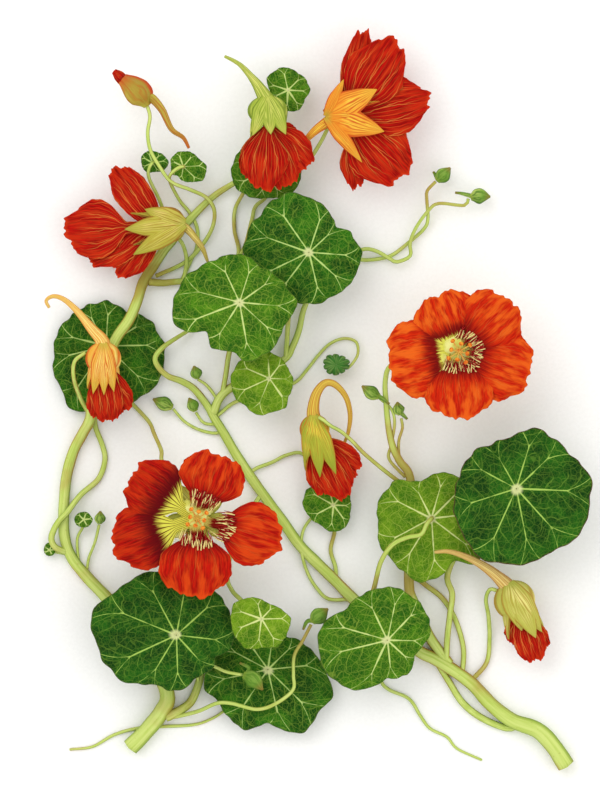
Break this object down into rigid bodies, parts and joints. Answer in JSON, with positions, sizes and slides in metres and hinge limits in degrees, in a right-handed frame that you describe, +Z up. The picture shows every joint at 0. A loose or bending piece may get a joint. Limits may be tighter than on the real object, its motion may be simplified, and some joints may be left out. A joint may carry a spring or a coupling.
{
  "type": "nasturtium plant",
  "caption": "Trailing nasturtium plant lying flat: two cut stems with round lobed leaves, spurred red flowers, buds and a seed pod.",
  "frame": {"origin": "centre of the plant's plan on the surface it lies on", "axes": "+Z up from the surface, +Y from the cut ends towards the top flowers, +X to the right as seen from above"},
  "size_m": [0.229, 0.3074, 0.0398],
  "materials": {
    "leaf_dark": "dark green leaf, satin",
    "leaf_mid": "green leaf, satin",
    "leaf_light": "yellow-green leaf, satin",
    "petal_red": "orange-red petal, soft matte",
    "calyx_yellow": "yellow-orange calyx and spur with green and red lines, satin",
    "stamen_orange": "orange-red stamens, matte",
    "bud_green": "yellow-green bud, satin",
    "stem_green": "pale green stem with a reddish tinge, satin"
  },
  "bodies": {
    "root": {"leaf_01": "leaf_mid", "leaf_02": "leaf_dark", "leaf_03": "leaf_mid", "leaf_04": "leaf_mid", "leaf_05": "leaf_dark", "leaf_06": "leaf_light", "leaf_07": "leaf_light", "leaf_08": "leaf_dark", "leaf_09": "leaf_mid", "leaf_10": "leaf_light", "leaf_11": "leaf_dark", "leaf_12": "leaf_mid", "leaf_13": "leaf_dark", "leaf_14": "leaf_light", "leaf_15": "leaf_dark", "leaf_16": "leaf_mid", "leaf_17": "leaf_mid", "flower_1_calyx": "calyx_yellow", "flower_1_petals": "petal_red", "flower_2_calyx": "calyx_yellow", "flower_2_petals": "petal_red", "flower_3_calyx": "calyx_yellow", "flower_3_petals": "petal_red", "flower_4_calyx": "calyx_yellow", "flower_4_petals": "petal_red", "flower_5_calyx": "calyx_yellow", "flower_5_petals": "petal_red", "flower_6_calyx": "calyx_yellow", "flower_6_petals": "petal_red", "flower_7_calyx": "calyx_yellow", "flower_7_petals": "petal_red", "flower_8_calyx": "calyx_yellow", "flower_8_petals": "petal_red", "flower_9_calyx": "calyx_yellow", "flower_9_petals": "petal_red", "flower_6_stamens": "stamen_orange", "flower_7_stamens": "stamen_orange", "bud_01": "bud_green", "bud_02": "bud_green", "bud_03": "bud_green", "bud_04": "bud_green", "bud_05": "bud_green", "bud_06": "bud_green", "bud_07": "bud_green", "bud_08": "bud_green", "bud_09": "bud_green", "bud_10": "bud_green", "seed_pod": "bud_green", "stem_left": "stem_green", "stem_right": "stem_green"}
  },
  "joints": []
}
